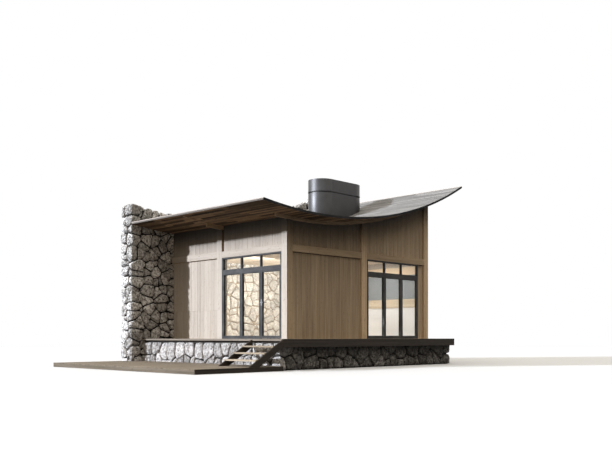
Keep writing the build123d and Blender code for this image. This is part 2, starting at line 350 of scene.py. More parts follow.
def on_wall(wall, along, inward, z):
    """Point on a wall: along it, inward from its outer face, and up."""
    if wall == "front":
        return (along, inward, z)
    if wall == "left":
        return (inward, along, z)
    return (front_length - inward, along, z)


def wall_span(wall, low, high):
    """Start and end along a wall of what lies between two corners, and its depths inward."""
    if wall == "front":
        return low.x, high.x, low.y, high.y
    if wall == "left":
        return low.y, high.y, low.x, high.x
    return low.y, high.y, front_length - high.x, front_length - low.x


# Materials


class Nodes:
    """A node tree, and short ways to build it."""

    def __init__(self, tree):
        self.tree = tree

    def node(self, kind, output=0, settings=None, **inputs):
        """An output of a new node. Its inputs are given as values, or as outputs to link."""
        made = set_up(self.tree.nodes.new("ShaderNode" + kind), **(settings or {}))
        for key, value in inputs.items():
            self.set(made.inputs[int(key[1:]) if key[0] == "_" else key.replace("_", " ")], value)
        return made.outputs[output]

    def set(self, socket, value):
        """Link an output to a socket, or set a value on it."""
        if isinstance(value, bpy.types.NodeSocket):
            self.tree.links.new(value, socket)
        else:
            socket.default_value = (*value, 1.0) if socket.type == "RGBA" else value

    def math(self, operation, first, second=0.0, clamp=False):
        return self.node("Math", 0, {"operation": operation, "use_clamp": clamp}, _0=first, _1=second)

    def line(self, value, factor, more):
        """A value times a factor, and more added."""
        return self.math("ADD", self.math("MULTIPLY", value, factor), more)

    def axis(self, place, letter):
        return self.node("SeparateXYZ", letter, _0=place)

    def seen(self):
        """1 for what the camera sees, straight or by way of glass and metal."""
        ray = self.node("LightPath", "Is Camera Ray")
        for kind in ("Is Transmission Ray", "Is Glossy Ray"):
            ray = self.math("MAXIMUM", ray, self.node("LightPath", kind))
        return ray

    def show(self, share, first, second, output="Material Output"):
        """Surface that goes from the first shader to the second."""
        both = self.node("MixShader", _0=share, _1=first, _2=second)
        self.set(self.tree.nodes[output].inputs["Surface"], both)


class Shader(Nodes):
    """A Principled material, kept in looks under its name."""

    def __init__(self, name, roughness=0.7, metallic=0.0, sheen=0.5):
        self.material = looks[name] = bpy.data.materials.new(name)
        self.material.use_nodes = True
        super().__init__(self.material.node_tree)
        self.surface = self.tree.nodes["Principled BSDF"]
        for key, value in (("Roughness", roughness), ("Metallic", metallic), ("Specular IOR Level", sheen)):
            self.surface.inputs[key].default_value = value

    def tone(self):
        """The tone of the board or stone that a point is on."""
        return self.node("Attribute", "Fac", {"attribute_name": "tone"})

    def spot(self):
        return self.node("TexCoord", "Object")

    def facing(self, letter):
        """How far the surface faces along an axis."""
        return self.axis(self.node("NewGeometry", "True Normal"), letter)

    def apart(self, spot, tone, distance=(37.0, 17.0, 53.0)):
        """The place, moved by the tone, so that neighbours don't share a pattern."""
        return self.node("VectorMath", 0, {"operation": "MULTIPLY_ADD"}, _0=tone, _1=distance, _2=spot)

    def noise(self, spot, scale, detail=3.0, rough=0.55):
        """Noise from 0 to 1, stretched by a scale for each axis."""
        if not isinstance(scale, (int, float)):
            spot = self.node("Mapping", Vector=spot, Scale=scale)
            scale = 1.0
        return self.node("TexNoise", Vector=spot, Scale=scale, Detail=detail, Roughness=rough)

    def ramp(self, value, stops):
        """Colour or grey from a value, through stops of (place, colour)."""
        output = self.node("ValToRGB", Fac=value)
        marks = output.node.color_ramp.elements
        while len(marks) < len(stops):
            marks.new(0.5)
        for mark, (at, colour) in zip(marks, stops):
            mark.position = at
            mark.color = (colour, colour, colour, 1.0) if isinstance(colour, float) else (*colour, 1.0)
        return output

    def mix(self, share, first, second):
        return self.node("Mix", 2, {"data_type": "RGBA"}, _0=share, _6=first, _7=second)

    def bright(self, colour, value):
        """A colour made lighter or darker by a factor."""
        return self.node("HueSaturation", Color=colour, Value=value)

    def bump(self, height, distance, strength=1.0, **below):
        return self.node("Bump", Height=height, Distance=distance, Strength=strength, **below)

    def eave_shade_factor(self):
        """Lightness of timber, as painted shade: low just under the roof, where its overhang shades it,
        whole a little further down.
        """
        place = self.spot()
        across = self.math("SUBTRACT", self.axis(place, "X"), house.x + roof_centre_x)
        rise = self.math("SUBTRACT", roof_radius ** 2, self.math("MULTIPLY", across, across))
        soffit = self.math("SUBTRACT", house.z + roof_centre_z, self.math("SQRT", rise))
        depth = self.math("SUBTRACT", soffit, self.axis(place, "Z"))
        return self.node("MapRange", 0, {"interpolation_type": "SMOOTHSTEP"}, Value=depth,
                         From_Max=eave_shade_depth, To_Min=eave_shade_dark)

    def finish(self, colour, roughness=None, normal=None):
        """Link what the surface is made from."""
        for name, value in (("Base Color", colour), ("Roughness", roughness), ("Normal", normal)):
            if value is not None:
                self.set(self.surface.inputs[name], value)


def mixed(first, second, share):
    return tuple(a + (b - a) * share for a, b in zip(first, second))


def scaled(colour, factor):
    return tuple(channel * factor for channel in colour)


def toned(colours, *factors):
    """A dark and a light colour, each made lighter or darker, by one factor or by two."""
    return scaled(colours[0], factors[0]), scaled(colours[1], factors[-1])


def figure_stops(dark, light):
    return [(0.38, dark), (0.50, mixed(dark, light, 0.55)), (0.62, light)]


def wood(name, axis, colours, spread=0.0, fleck=0.45, rough=0.72, relief=0.0012, sheen=0.2,
         worn=None, painted_sun_side=None, painted_eave_shade=False):
    """Timber with its grain along one axis. Boards differ by their tone, within spread.

    Faces that look to the sun's side, which is -X, have paler colours: painted sunlight. Timber can also be
    painted darker just under the roof, as the eaves' shade.
    """
    look = Shader(name, sheen=sheen)
    tone = look.tone()
    spot = look.apart(look.spot(), tone)

    def grain(scales, detail, coarse=0.55):
        across, along = scales
        return look.noise(spot, tuple(along if i == axis else across for i in range(3)), detail, coarse)

    broad = grain(grain_broad, 2.0)
    streak = grain(grain_streak, 3.0)
    hair = grain(grain_hair, 2.0)
    figure = look.line(streak, 0.30, look.math("MULTIPLY", broad, 0.55))
    figure = look.line(hair, 0.15, figure)
    colour = look.ramp(figure, figure_stops(*colours))
    if painted_sun_side is not None:
        # Faces towards the sun take the paler colours: painted sunlight.
        to_sun = look.math("MULTIPLY", look.facing("X"), -1.0, clamp=True)
        colour = look.mix(to_sun, colour, look.ramp(figure, figure_stops(*painted_sun_side)))
    if worn is not None:
        patches = grain(grain_patch, 4.0, 0.6)
        colour = look.mix(look.ramp(patches, [(0.50, 0.0), (0.66, 0.6)]), colour, worn)
    marks = look.ramp(grain(grain_pit, 3.0, 0.75), [(0.58, 0.0), (0.68, fleck)])
    colour = look.mix(marks, colour, scaled(colours[0], 0.35))
    if spread:
        colour = look.bright(colour, look.line(tone, 2 * spread, 1.0 - spread))
    # Painted shade: darker just under the roof, where the eaves shade the wall.
    if painted_eave_shade:
        colour = look.bright(colour, look.eave_shade_factor())
    height = look.math("SUBTRACT", look.math("ADD", streak, hair), marks)
    look.finish(colour, look.line(streak, 0.25, rough - 0.12), look.bump(height, relief))


def rubble(name, stops, pale, dark, stained=0.9, relief=0.8, uneven=0.5):
    """Rough stone: each has a colour of its own, with patches, specks and pits."""
    look = Shader(name, roughness=0.9, sheen=0.15)
    tone = look.tone()
    spot = look.apart(look.spot(), tone, (11.0, 7.0, 5.0))
    patches = look.noise(spot, 8.0, 5.0, 0.62)
    stain = look.noise(spot, 15.0, 5.0, 0.66)
    speck = look.noise(spot, 60.0, 3.0, 0.75)
    holes = look.node("TexVoronoi", "Distance", Vector=spot, Scale=13.0)
    pits = look.ramp(holes, [(0.08, stained), (0.17, 0.0)])
    colour = look.ramp(tone, stops)
    colour = look.mix(look.ramp(patches, [(0.44, 0.0), (0.62, 0.85)]), colour, pale)
    colour = look.mix(look.ramp(stain, [(0.46, 0.0), (0.61, stained)]), colour, dark)
    colour = look.bright(colour, look.line(speck, 0.5, 0.75))
    colour = look.bright(colour, look.line(tone, uneven, 1.0 - uneven / 2))
    colour = look.mix(pits, colour, scaled(dark, 0.30))
    coarse = look.bump(look.line(stain, 0.8, patches), 0.16, relief)
    fine = look.bump(look.math("SUBTRACT", speck, pits), 0.006, 0.8, Normal=coarse)
    look.finish(colour, normal=fine)


def painted(name, colour, rough, speckle=0.08, metallic=0.0, relief=0.0002, sheen=0.5, upper=None,
            top_dulled=0.0):
    """Smooth coat with a faint orange-peel and a little dust.

    From a given height up it has the colour upper, painted warm lamplight, and faces that look up are
    rougher by top_dulled.
    """
    look = Shader(name, metallic=metallic, sheen=sheen)
    spot = look.spot()
    dust = look.noise(spot, 2.2, 5.0, 0.6)
    peel = look.noise(spot, 220.0, 2.0)
    dusty = mixed(colour, (0.6, 0.58, 0.55), speckle)
    tinted = look.mix(look.ramp(dust, [(0.42, 0.0), (0.75, 1.0)]), colour, dusty)
    # Painted lamplight: a warm colour on the upper wall.
    if upper is not None:
        above = look.math("GREATER_THAN", look.axis(spot, "Z"), house.z + painted_glow_from)
        tinted = look.mix(above, tinted, upper)
    roughness = look.line(dust, 0.22, rough - 0.11)
    if top_dulled:
        on_top = look.math("GREATER_THAN", look.facing("Z"), 0.9)
        roughness = look.line(on_top, top_dulled, roughness)
    look.finish(tinted, roughness, look.bump(peel, relief))


def brushed(name, colour, rough):
    """Bright metal with fine brush lines."""
    look = Shader(name, metallic=1.0)
    lines = look.noise(look.spot(), (40.0, 40.0, 900.0), 2.0)
    tinted = look.ramp(lines, [(0.35, scaled(colour, 0.9)), (0.65, scaled(colour, 1.1))])
    look.finish(tinted, look.line(lines, 0.2, rough - 0.1), look.bump(lines, 0.0001))


def clear_glass(name, tint):
    """Clear glass that lets the lamps' light through."""
    look = Shader(name, roughness=0.0)
    look.surface.inputs["Transmission Weight"].default_value = 1.0
    look.surface.inputs["IOR"].default_value = 1.45
    see_through = look.node("BsdfTransparent", Color=tint)
    look.show(look.node("LightPath", "Is Shadow Ray"), look.surface.outputs[0], see_through)
    look.finish(tint)


# Colours of timber, dark and light, as the surfaces look in plain light
board = ((0.262, 0.188, 0.118), (0.425, 0.318, 0.208))
# The paler colours for faces on the sun's side are painted sunlight.
painted_sun_side_board = ((0.345, 0.288, 0.230), (0.420, 0.360, 0.296))
timber = ((0.245, 0.176, 0.108), (0.375, 0.276, 0.176))
painted_sun_side_timber = ((0.372, 0.312, 0.252), (0.446, 0.388, 0.324))
beam = ((0.150, 0.102, 0.060), (0.340, 0.238, 0.150))
soffit_board = ((0.030, 0.018, 0.010), (0.245, 0.162, 0.098))
ceiling_board = ((0.560, 0.460, 0.350), (0.770, 0.690, 0.590))
plank = ((0.080, 0.077, 0.072), (0.185, 0.180, 0.172))
decking = ((0.092, 0.073, 0.051), (0.190, 0.154, 0.112))
near_black = ((0.012, 0.009, 0.006), (0.036, 0.027, 0.020))
ledge = ((0.110, 0.090, 0.070), (0.220, 0.185, 0.150))
trim = ((0.300, 0.262, 0.228), (0.430, 0.380, 0.335))
indoor = ((0.600, 0.460, 0.300), (0.820, 0.690, 0.510))
room_floor_board = (mixed(indoor[0], board[0], 0.5), mixed(indoor[1], board[1], 0.4))

weathered = {"rough": 0.85, "relief": 0.002}
walked_on = {"spread": 0.14, **weathered}
dark_stained = {"rough": 0.6, "sheen": 0.15}

# Wall boards and uprights get painted sunlight on their sun side and painted shade under the eaves.
wood("wall_boards", 2, board, spread=0.07, fleck=0.35, painted_sun_side=painted_sun_side_board, painted_eave_shade=True)
wood("frame_upright", 2, toned(timber, 1.22), painted_sun_side=painted_sun_side_timber, painted_eave_shade=True)
# Paler posts on the front and right: painted light, brighter towards the open right side.
wood("frame_painted_light", 2, toned(timber, 1.95, 1.90), painted_eave_shade=True)
wood("frame_front", 0, toned(timber, 1.35))
wood("frame_side", 1, timber, painted_sun_side=painted_sun_side_board)
wood("roof_beams", 0, beam)
wood("soffit_boards", 1, soffit_board, spread=0.72, sheen=0.05)
wood("ceiling_boards", 1, ceiling_board, spread=0.12)
wood("room_rail", 1, toned(indoor, 0.71))
wood("roof_planks", 1, plank, spread=0.18, fleck=0.6, rough=0.85, relief=0.003, worn=scaled(plank[1], 1.25))
wood("eave_trim", 1, trim, rough=0.85)
wood("eave_fascia", 1, toned(trim, 0.30, 0.40), rough=0.85, sheen=0.05)
wood("deck_boards", 0, decking, **walked_on)
wood("deck_frame", 1, (decking[0], mixed(*decking, 0.7)), **weathered)
wood("stair_treads", 1, (decking[1], scaled(decking[1], 1.9)), **weathered)
wood("terrace_left", 1, decking, **walked_on)
wood("terrace_front", 0, decking, **walked_on)
# Near-black timber: a dark stain, made darker still as painted shade on rim beams, stringers, terrace front
# edge and deck end board.
wood("stain_and_painted_shade_timber", 0, near_black, **dark_stained)
wood("stain_and_painted_shade_timber_side", 1, near_black, **dark_stained)
wood("ledge_board", 1, ledge, rough=0.8)
wood("room_floor", 1, room_floor_board, spread=0.14, rough=0.5)

wall_stones = [(0.0, (0.390, 0.364, 0.334)), (0.35, (0.780, 0.737, 0.688)), (0.65, (0.520, 0.495, 0.468)),
               (1.0, (0.930, 0.890, 0.846))]
# Darker copies of the wall's stone colours for the front plinth: painted shade.
painted_shade_stones = [(at, scaled(colour, 0.28)) for at, colour in wall_stones]
room_stones = [(0.0, (0.500, 0.460, 0.400)), (1.0, (0.660, 0.615, 0.550))]
plinth_stones = [(0.0, (0.455, 0.426, 0.400)), (0.5, (0.545, 0.513, 0.486)), (1.0, (0.600, 0.566, 0.537))]
rubble("rubble_stone", wall_stones, (0.950, 0.920, 0.880), (0.120, 0.106, 0.090))
rubble("room_stone", room_stones, (0.740, 0.695, 0.630), (0.330, 0.275, 0.205),
       stained=0.6, relief=0.6, uneven=0.15)
rubble("plinth_stone_painted_shade", painted_shade_stones, (0.360, 0.338, 0.308), (0.050, 0.043, 0.035))
rubble("plinth_stone", plinth_stones, (0.730, 0.690, 0.657), (0.160, 0.140, 0.120), stained=0.80)
painted("mortar", (0.022, 0.020, 0.018), 0.95, relief=0.002, sheen=0.1)
painted("pale_mortar", (0.300, 0.235, 0.165), 0.95, relief=0.002, sheen=0.1)
painted("roof_edge", (0.012, 0.012, 0.013), 0.75, sheen=0.1)
painted("window_frame", (0.026, 0.025, 0.024), 0.62, sheen=0.22)
painted("gasket", (0.010, 0.010, 0.011), 0.6, sheen=0.2)
# Black felt in the panel gaps, which also stands for their shade.
painted("felt", (0.012, 0.010, 0.008), 0.9, sheen=0.05)
painted("shroud_metal", (0.060, 0.058, 0.058), 0.46, speckle=0.03, metallic=0.75, top_dulled=0.42)
brushed("hardware", (0.26, 0.26, 0.27), 0.60)
# The lining's warm upper colour is painted lamplight.
painted("room_lining", (0.158, 0.173, 0.185), 0.7, upper=(0.62, 0.48, 0.32))
painted("room_cream", (0.690, 0.685, 0.690), 0.7)
clear_glass("glass", (0.93, 0.96, 0.95))

# The CAD nodes that stay: look, how far sharp edges are eased, and nodes
dressing = (
    ("frame_upright", 0.004, "corner_post left_mid_post"),
    # These posts have the paler timber: painted light.
    ("frame_painted_light", 0.004, "front_mid_post front_right_post right_mid_post"),
    ("frame_front", 0.003, "front_rail"),
    ("frame_side", 0.003, "left_rail right_rail"),
    ("roof_beams", 0.003, "front_roof_beam middle_roof_beam rear_roof_beam"),
    ("window_frame", 0.002, "front_window_frame right_window_frame left_window_lights left_window_transom "
        "entrance_jamb entrance_threshold entrance_door_leaf"),
    ("glass", 0.0, "front_window_glass right_window_glass left_window_glass entrance_door_glass"),
    ("hardware", 0.001, "entrance_hinges entrance_door_handle"),
    ("roof_edge", 0.0, "front_rake_fascia"),
    ("eave_fascia", 0.0, "left_eave_fascia right_eave_fascia"),
    ("shroud_metal", 0.003, "chimney_shroud chimney_cap"),
    ("stain_and_painted_shade_timber", 0.003, "near_stair_stringer far_stair_stringer front_rim_beam"),
    ("stain_and_painted_shade_timber_side", 0.003, "right_rim_beam floor_joists"),
    ("ceiling_boards", 0.0, "ceiling"),
    ("stair_treads", 0.003, "stair_treads"),
    ("deck_frame", 0.003, "deck_frame"),
)


def dress(node, look, ease):
    """Give a CAD node its material, and ease its sharp edges a little."""
    obj = nodes[node]
    obj.data.materials.clear()
    obj.data.materials.append(looks[look])
    if ease:
        set_up(obj.modifiers.new("one_skin", "WELD"), merge_threshold=0.0001)
        set_up(obj.modifiers.new("eased_edges", "BEVEL"), width=ease, segments=2, limit_method="ANGLE",
               angle_limit=math.radians(40))


# Boarded walls

wall_panels = {
    "front": ("front_lower_panel", "front_side_panel", "front_upper_panel_left", "front_upper_panel_right"),
    "left": ("left_lower_panel", "left_upper_panel_near", "left_upper_panel_far"),
    "right": ("right_lower_panel", "right_side_panel", "right_upper_panel_near", "right_upper_panel_far"),
}

# Panels whose boards are paler, as a shift of their tones: painted light, brighter towards the open right
# side
painted_light_panels = {"front_upper_panel_right": 2.0, "front_side_panel": 2.0}


def board_place(wall, along, face, bottom, top):
    """Where the points of an upright board go, its top level or on the roof curve."""
    def place(u, v, end):
        x, y, _ = on_wall(wall, along + u, face + v, 0)
        upper = roof_height(x) if top is None else top
        return (x, y, upper if end else bottom)
    return place


def panel_gaps(pile, wall, start, end, face, bottom, top):
    """Dark felt strips at the bottom of the gaps between a panel's boards and the frame, black so that the
    gaps read as dark lines: a real backing, partly painted shade.
    """
    for first in (start, end - panel_gap):
        pile.prism(slab(panel_gap, felt_thickness), board_place(wall, first, face, bottom, top))
    if top and wall != "left":
        pile.prism(slab(end - start - 2 * panel_gap, felt_thickness),
                   board_place(wall, start + panel_gap, face, top - panel_gap, top))


def boarded_walls():
    """Upright boards on every panel, and the room's lining behind them."""
    for wall, names in wall_panels.items():
        boards, felt, lining, cream = Pile(), Pile(), Pile(), Pile()
        for name in names:
            low, high = corners(name)
            start, end, face, _ = wall_span(wall, low, high)
            bottom = low.z
            top = None if "upper" in name else high.z
            depth = wall_depth - face - (lining_thickness if top else 0)
            panel_gaps(felt, wall, start, end, face + panel_gap_depth, bottom, top)
            board_top = top and top - (panel_gap if wall != "left" else 0)
            levels = [(bottom, board_top)]
            if wall == "left" and top:
                levels = [(bottom, wall_board_joint), (wall_board_joint + wall_board_gap, board_top)]
            inside = (start + panel_gap, end - panel_gap)
            for first, last in split(*inside, wall_board_pitch, wall_board_spread):
                width = last - first - wall_board_gap
                back = rng.uniform(0.0, wall_board_play)
                section = board_section(width, depth - back)
                for foot, head in levels:
                    place = board_place(wall, first + wall_board_gap / 2, face + back, foot, head)
                    # Some panels get a paler tone: painted light.
                    boards.prism(section, place, rng.random() + painted_light_panels.get(name, 0.0))
            if top:
                sheet = slab(end - start, lining_thickness)
                cream.prism(sheet, board_place(wall, start, face + depth, bottom, dado_bottom))
                lining.prism(sheet, board_place(wall, start, face + depth, dado_bottom, top))
        boards.piece(wall + "_wall_boards", "wall_boards", "wall_boards", names)
        felt.piece(wall + "_wall_gaps", "felt", "wall_boards")
        lining.piece(wall + "_wall_lining", "room_lining", "wall_boards")
        cream.piece(wall + "_wall_dado", "room_cream", "wall_boards")


def room_trim():
    """Timber rail on the right wall, and boards under the ceiling."""
    far = corners("right_mid_post")[0].y
    strip = [(post_size, 0), (far, 0), (far, room_rail_thickness), (post_size, room_rail_thickness)]
    levels = (dado_bottom, dado_top)
    rail = Pile().prism(strip, lambda u, v, end: on_wall("right", u, wall_depth + v, levels[end]))
    rail.piece("room_rail", "room_rail", "frame_timber")
    boards = Pile()
    bottom = rail_top - ceiling_board_thickness
    for first, last, start, end in courses(ceiling_laid, (post_size, front_length - post_size),
                                           (post_size, side_length)):
        section = board_section(last - first - ceiling_laid.gap, ceiling_board_thickness)
        ends = (start + end_gap, end - end_gap)
        boards.prism(section, lambda u, v, end: (first + u, ends[end], bottom + v), rng.random())
    boards.piece("ceiling_boards", "ceiling_boards", "wall_boards")


# Roof


def roof_surfaces():
    """Soffit boards, a thin dark membrane, and the planks on top."""
    soffit = Pile()
    low, high = corners("roof_boards")
    rows = (arc_at(low.x), arc_at(high.x))
    for first, last, start, end in courses(soffit_laid, rows, (low.y, side_length)):
        section = board_section(last - first - soffit_laid.gap, roof_board_thickness)
        side = first + soffit_laid.gap / 2
        ends = (start + end_gap, end - 2 * end_gap)
        soffit.prism(section, lambda u, v, end: roof_point(side + u, v, ends[end]), rng.random())
    soffit.piece("soffit_boards", "soffit_boards", "soffit_boards", ("roof_boards",))
    membrane = Pile().band((roof_left + membrane_inset, roof_right - membrane_inset),
                           (roof_front + membrane_inset, side_length), (roof_board_thickness, plank_bed))
    membrane.piece("roof_membrane", "gasket", "roof_edge")
    planks = Pile()
    thickness = roof_thickness - roof_board_thickness - membrane_thickness
    rows = (arc_at(roof_left), arc_at(roof_right))
    for first, last, start, end in courses(plank_laid, rows, (roof_front, side_length)):
        top = roof_thickness - rng.uniform(0.0, plank_play)
        section = board_section(last - first - plank_laid.gap, thickness - roof_thickness + top)
        side = first + plank_laid.gap / 2
        ends = (start, end - plank_end_gap)
        planks.prism(section, lambda u, v, end: roof_point(side + u, top - v, ends[end]), rng.random())
    planks.piece("roof_planks", "roof_planks", "roof_planks", ("roof_covering",))


def roof_edges():
    """Pale trim on the eaves, drip edge over the front, flashing at the wall, and soffit batten."""
    eaves = Pile()
    for x_ends in ((roof_left - drip_edge, roof_left + eave_trim_width),
                   (roof_right - eave_trim_width, roof_right + drip_edge)):
        eaves.band(x_ends, (roof_front + drip_edge, side_length - eave_back_gap),
                   (plank_bed, roof_thickness + drip_edge), steps=2)
    eaves.piece("eave_trim", "eave_trim", "roof_planks")
    drip = Pile().band((roof_left - drip_edge, roof_right + drip_edge),
                       (roof_front - drip_edge, roof_front + drip_depth),
                       (roof_board_thickness, roof_thickness + 0.5 * drip_edge))
    drip.piece("front_drip_edge", "roof_edge", "roof_edge")
    flashing = Pile().band((roof_left, roof_right), (side_length - flashing_width, side_length + core_depth),
                           (roof_thickness, roof_thickness + drip_edge))
    flashing.piece("wall_flashing", "roof_edge", "roof_edge")
    low, high = corners("middle_roof_beam")
    batten = Pile().band((roof_left + batten_inset, low.x), (low.y, high.y), (-batten_depth, 0.0), steps=6)
    batten.piece("soffit_batten", "roof_beams", "frame_timber")


# Floors


def lay(laid, rows, along, levels, ease=ease_small, turned=False):
    """Floor boards between two levels, with their rows over X, or over Y where turned."""
    boards = Pile()
    gap = laid.gap / 2
    for first, last, start, end in courses(laid, rows, along):
        low, high = (first + gap, start + gap), (last - gap, end - gap)
        if turned:
            low, high = low[::-1], high[::-1]
        boards.box((*low, levels[0]), (*high, levels[1]), rng.random(), ease)
    return boards


def room_floor():
    """Floor boards on a subfloor."""
    low, high = corners("floor")
    middle = high.z - floor_board_thickness
    boards = lay(floor_laid, (low.x, high.x), (low.y, high.y), (middle, high.z), floor_ease)
    boards.piece("floor_boards", "room_floor", "floor_timber", ("floor",))
    Pile().box(low, (high.x, high.y, middle)).piece("subfloor", "stain_and_painted_shade_timber", "floor_timber")


def terrace():
    """Boards along the left wall and along the front, with a board on each open edge."""
    low, high = corners("left_terrace")[0], corners("front_terrace")[1]
    edge_x = low.x + terrace_edge
    edge_y = low.y + terrace_edge
    levels = (low.z, high.z)
    left = lay(terrace_laid, (edge_x, 0), (edge_y, side_length), levels)
    left.piece("terrace_left_boards", "terrace_left", "floor_timber", ("left_terrace",))
    front = lay(terrace_laid, (edge_y, 0), (0, high.x), levels, turned=True)
    front.piece("terrace_front_boards", "terrace_front", "floor_timber", ("front_terrace",))
    gap = terrace_laid.gap / 2
    edge = Pile().box((low.x, edge_y, low.z), (edge_x - gap, side_length, high.z), ease=ease_small)
    edge.piece("terrace_left_edge", "ledge_board", "floor_timber")
    # The front edge board is near black: painted shade.
    edge = Pile().box(low, (high.x, edge_y - gap, high.z), ease=ease_small)
    edge.piece("terrace_front_edge", "stain_and_painted_shade_timber", "dark_timber")


def deck():
    """Deck boards across the joists, each with its screws, and a near-black board over the front end:
    painted shade.
    """
    low, high = corners("deck_boards")
    notch_x = wall_low.x - deck_notch_gap
    notch_y = wall_low.y - deck_notch_gap
    boards, screws = Pile(), Pile()
    joists = [low.x + (notch_x - low.x) * share for share in deck_joists]
    for start, end, right in ((low.y, notch_y, high.x), (notch_y, high.y, notch_x)):
        for first, last in split(start, end, deck_board_pitch, 0.0):
            near = first + deck_board_gap / 2
            far = last - deck_board_gap / 2
            top = high.z - rng.uniform(0.0, deck_board_play)
            boards.box((low.x, near, low.z), (right, far, top), rng.random(), ease_small)
            for x in joists + ([high.x - deck_edge_joist] if right == high.x else []):
                for y in (near + screw_inset, far - screw_inset):
                    screw(screws, x + screw_shift, y, top)
    # Near-black end board over the deck's front: painted shade.
    end_board = Pile().box((low.x, low.y - deck_end_thickness, ground + deck_end_foot),
                           (high.x, low.y, high.z - deck_end_drop))
    end_board.piece("deck_end_board", "stain_and_painted_shade_timber", "dark_timber")
    boards.piece("deck_planks", "deck_boards", "deck_timber", ("deck_boards",))
    screws.piece("deck_screws", "hardware", "hardware")


def screw(pile, x, y, top, radius=0.004, rise=0.0006, depth=0.002, sides=6):
    """Low round screw head, let into the board."""
    turns = [k * math.tau / sides for k in range(sides)]
    circle = [(radius * math.cos(turn), radius * math.sin(turn)) for turn in turns]
    pile.prism(circle, lambda u, v, end: (x + u, y + v, top + (rise if end else -depth)))


# Windows


def solids(node):
    """Lowest and highest corner of each separate solid of a node, in the house's frame."""
    mesh = bmesh.new()
    mesh.from_mesh(nodes[node].data)
    bmesh.ops.remove_doubles(mesh, verts=mesh.verts, dist=0.0001)
    left = set(mesh.verts)
    boxes = []
    while left:
        stack = [left.pop()]
        group = []
        while stack:
            vertex = stack.pop()
            group.append(vertex.co - house)
            found = {edge.other_vert(vertex) for edge in vertex.link_edges} & left
            left -= found
            stack += found
        boxes.append(tuple(Vector(map(pick, zip(*group))) for pick in (min, max)))
    mesh.free()
    return sorted(boxes, key=lambda pair: tuple(round(value, 3) for value in pair[0]))


def ring(pile, wall, start, end, bottom, top, width, front, back):
    """Rectangular ring on a wall, width wide inside its outline, between two depths."""
    outer = [(start, bottom), (end, bottom), (end, top), (start, top)]
    inner = [(start + width, bottom + width), (end - width, bottom + width),
             (end - width, top - width), (start + width, top - width)]
    points = [on_wall(wall, u, depth, z) for depth in (front, back) for u, z in outer + inner]
    faces = []
    for i in range(4):
        j = (i + 1) % 4
        faces += [[i, j, 4 + j, 4 + i], [8 + i, 8 + j, 12 + j, 12 + i],
                  [i, j, 8 + j, 8 + i], [4 + i, 4 + j, 12 + j, 12 + i]]
    pile.add(points, faces, 0.5)


def window_trim():
    """Glazing beads and gaskets round each pane, outside and inside."""
    for name, wall, body in (("left_window", "left", "cabin"), ("front_window", "front", "cabin"),
                             ("right_window", "right", "cabin"), ("entrance_door", "left", "entrance_door")):
        bead, seal = Pile(), Pile()
        for low, high in solids(name + "_glass"):
            start, end, outer, inner = wall_span(wall, low, high)
            for face, away in ((outer, -1), (inner, 1)):
                middle = face + away * gasket_thickness
                ring(seal, wall, start, end, low.z, high.z, gasket_width, face, middle)
                ring(bead, wall, start, end, low.z, high.z, bead_width, middle, face + away * bead_rise)
        bead.piece(name + "_beads", "window_frame", "window_frame", body=body)
        seal.piece(name + "_gaskets", "gasket", "window_frame", body=body)


# Stones


def slice_off(mesh, point, normal):
    """Cut away what lies past a plane, and close the cut."""
    if all((vertex.co - point).dot(normal) <= 0 for vertex in mesh.verts):
        return
    cut = bmesh.ops.bisect_plane(mesh, geom=mesh.verts[:] + mesh.edges[:] + mesh.faces[:],
                                 plane_co=point, plane_no=normal, clear_outer=True)
    edges = [item for item in cut["geom_cut"] if isinstance(item, bmesh.types.BMEdge)]
    if edges:
        bmesh.ops.edgenet_fill(mesh, edges=edges)


def tilted(normal, angle):
    """A direction close to normal."""
    off = Vector([rng.uniform(-1, 1) for _ in range(3)]) * math.tan(angle)
    return (normal + off).normalized()


def rough_face(seed, point, normal, tilt, recess):
    """Planes that leave a split, chipped face on a stone, where it meets a plane of the wall."""
    point, normal = Vector(point), Vector(normal).normalized()
    proud = stone_proud - rng.uniform(0, recess) if recess else 0.0
    middle = seed - normal * (seed - point).dot(normal) + normal * proud
    planes = [(middle, tilted(normal, tilt) if tilt else normal)]
    if recess:
        side = normal.orthogonal().normalized()
        up = normal.cross(side)
        first = rng.uniform(0, math.tau)
        for chip in range(chip_count):
            turn = first + (chip + rng.uniform(-chip_wander, chip_wander)) * math.tau / chip_count
            away = side * math.cos(turn) + up * math.sin(turn)
            slope = math.tan(rng.uniform(*chip_slope))
            planes.append((middle + away * rng.uniform(*chip_start), (normal + away * slope).normalized()))
    return planes


def stone_seeds(low, high, sizes, twins):
    """Uneven rows of points in a box, one for each stone. Where one has a twin, two are small."""
    counts = [max(1, round((b - a) / size)) for a, b, size in zip(low, high, sizes)]
    steps = [(b - a) / count for a, b, count in zip(low, high, counts)]
    seeds = []
    for cell in product(*map(range, counts)):
        shares = [place + 0.5 + rng.uniform(-wander, wander) for place, wander in zip(cell, stone_wander)]
        if rng.random() > stone_keep:
            continue
        seeds.append(Vector([a + step * share for a, step, share in zip(low, steps, shares)]))
        if rng.random() < twins:
            shift = [rng.choice((-twin_shift, twin_shift)) * step * (size < whole_depth)
                     for step, size in zip(steps, sizes)]
            seeds.append(seeds[-1] + Vector(shift))
    return seeds


